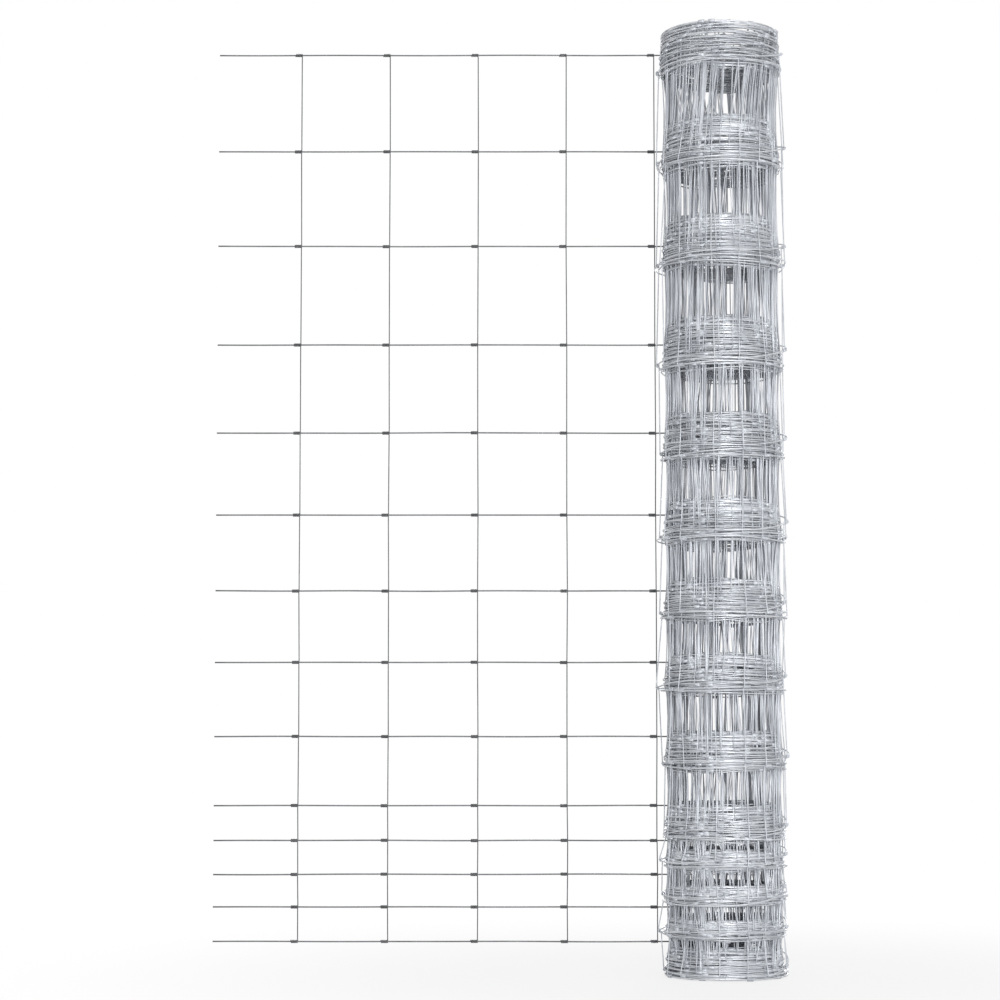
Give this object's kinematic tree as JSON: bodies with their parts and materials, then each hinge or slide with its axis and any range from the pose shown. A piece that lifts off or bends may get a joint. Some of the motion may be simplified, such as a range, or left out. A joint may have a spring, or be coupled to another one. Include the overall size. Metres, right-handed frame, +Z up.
{
  "type": "roll of wire fencing",
  "caption": "Standing roll of galvanised knotted field fence with a hollow centre, its free end pulled out flat, with line wires closer together near the ground.",
  "frame": {"origin": "on the axis of the roll, at the floor it stands on", "axes": "+Z up along the axis of the roll, -X along the free end that is pulled out flat, +Y from the roll's front to the side where the free end leaves it"},
  "size_m": [0.9483, 0.2121, 1.5525],
  "materials": {
    "wound_wire": "galvanised, dull with bright edges",
    "fence_wire": "galvanised, dull with bright edges"
  },
  "bodies": {
    "root": {"wound_roll": "wound_wire", "outer_turn": "fence_wire", "free_end": "fence_wire"}
  },
  "joints": []
}
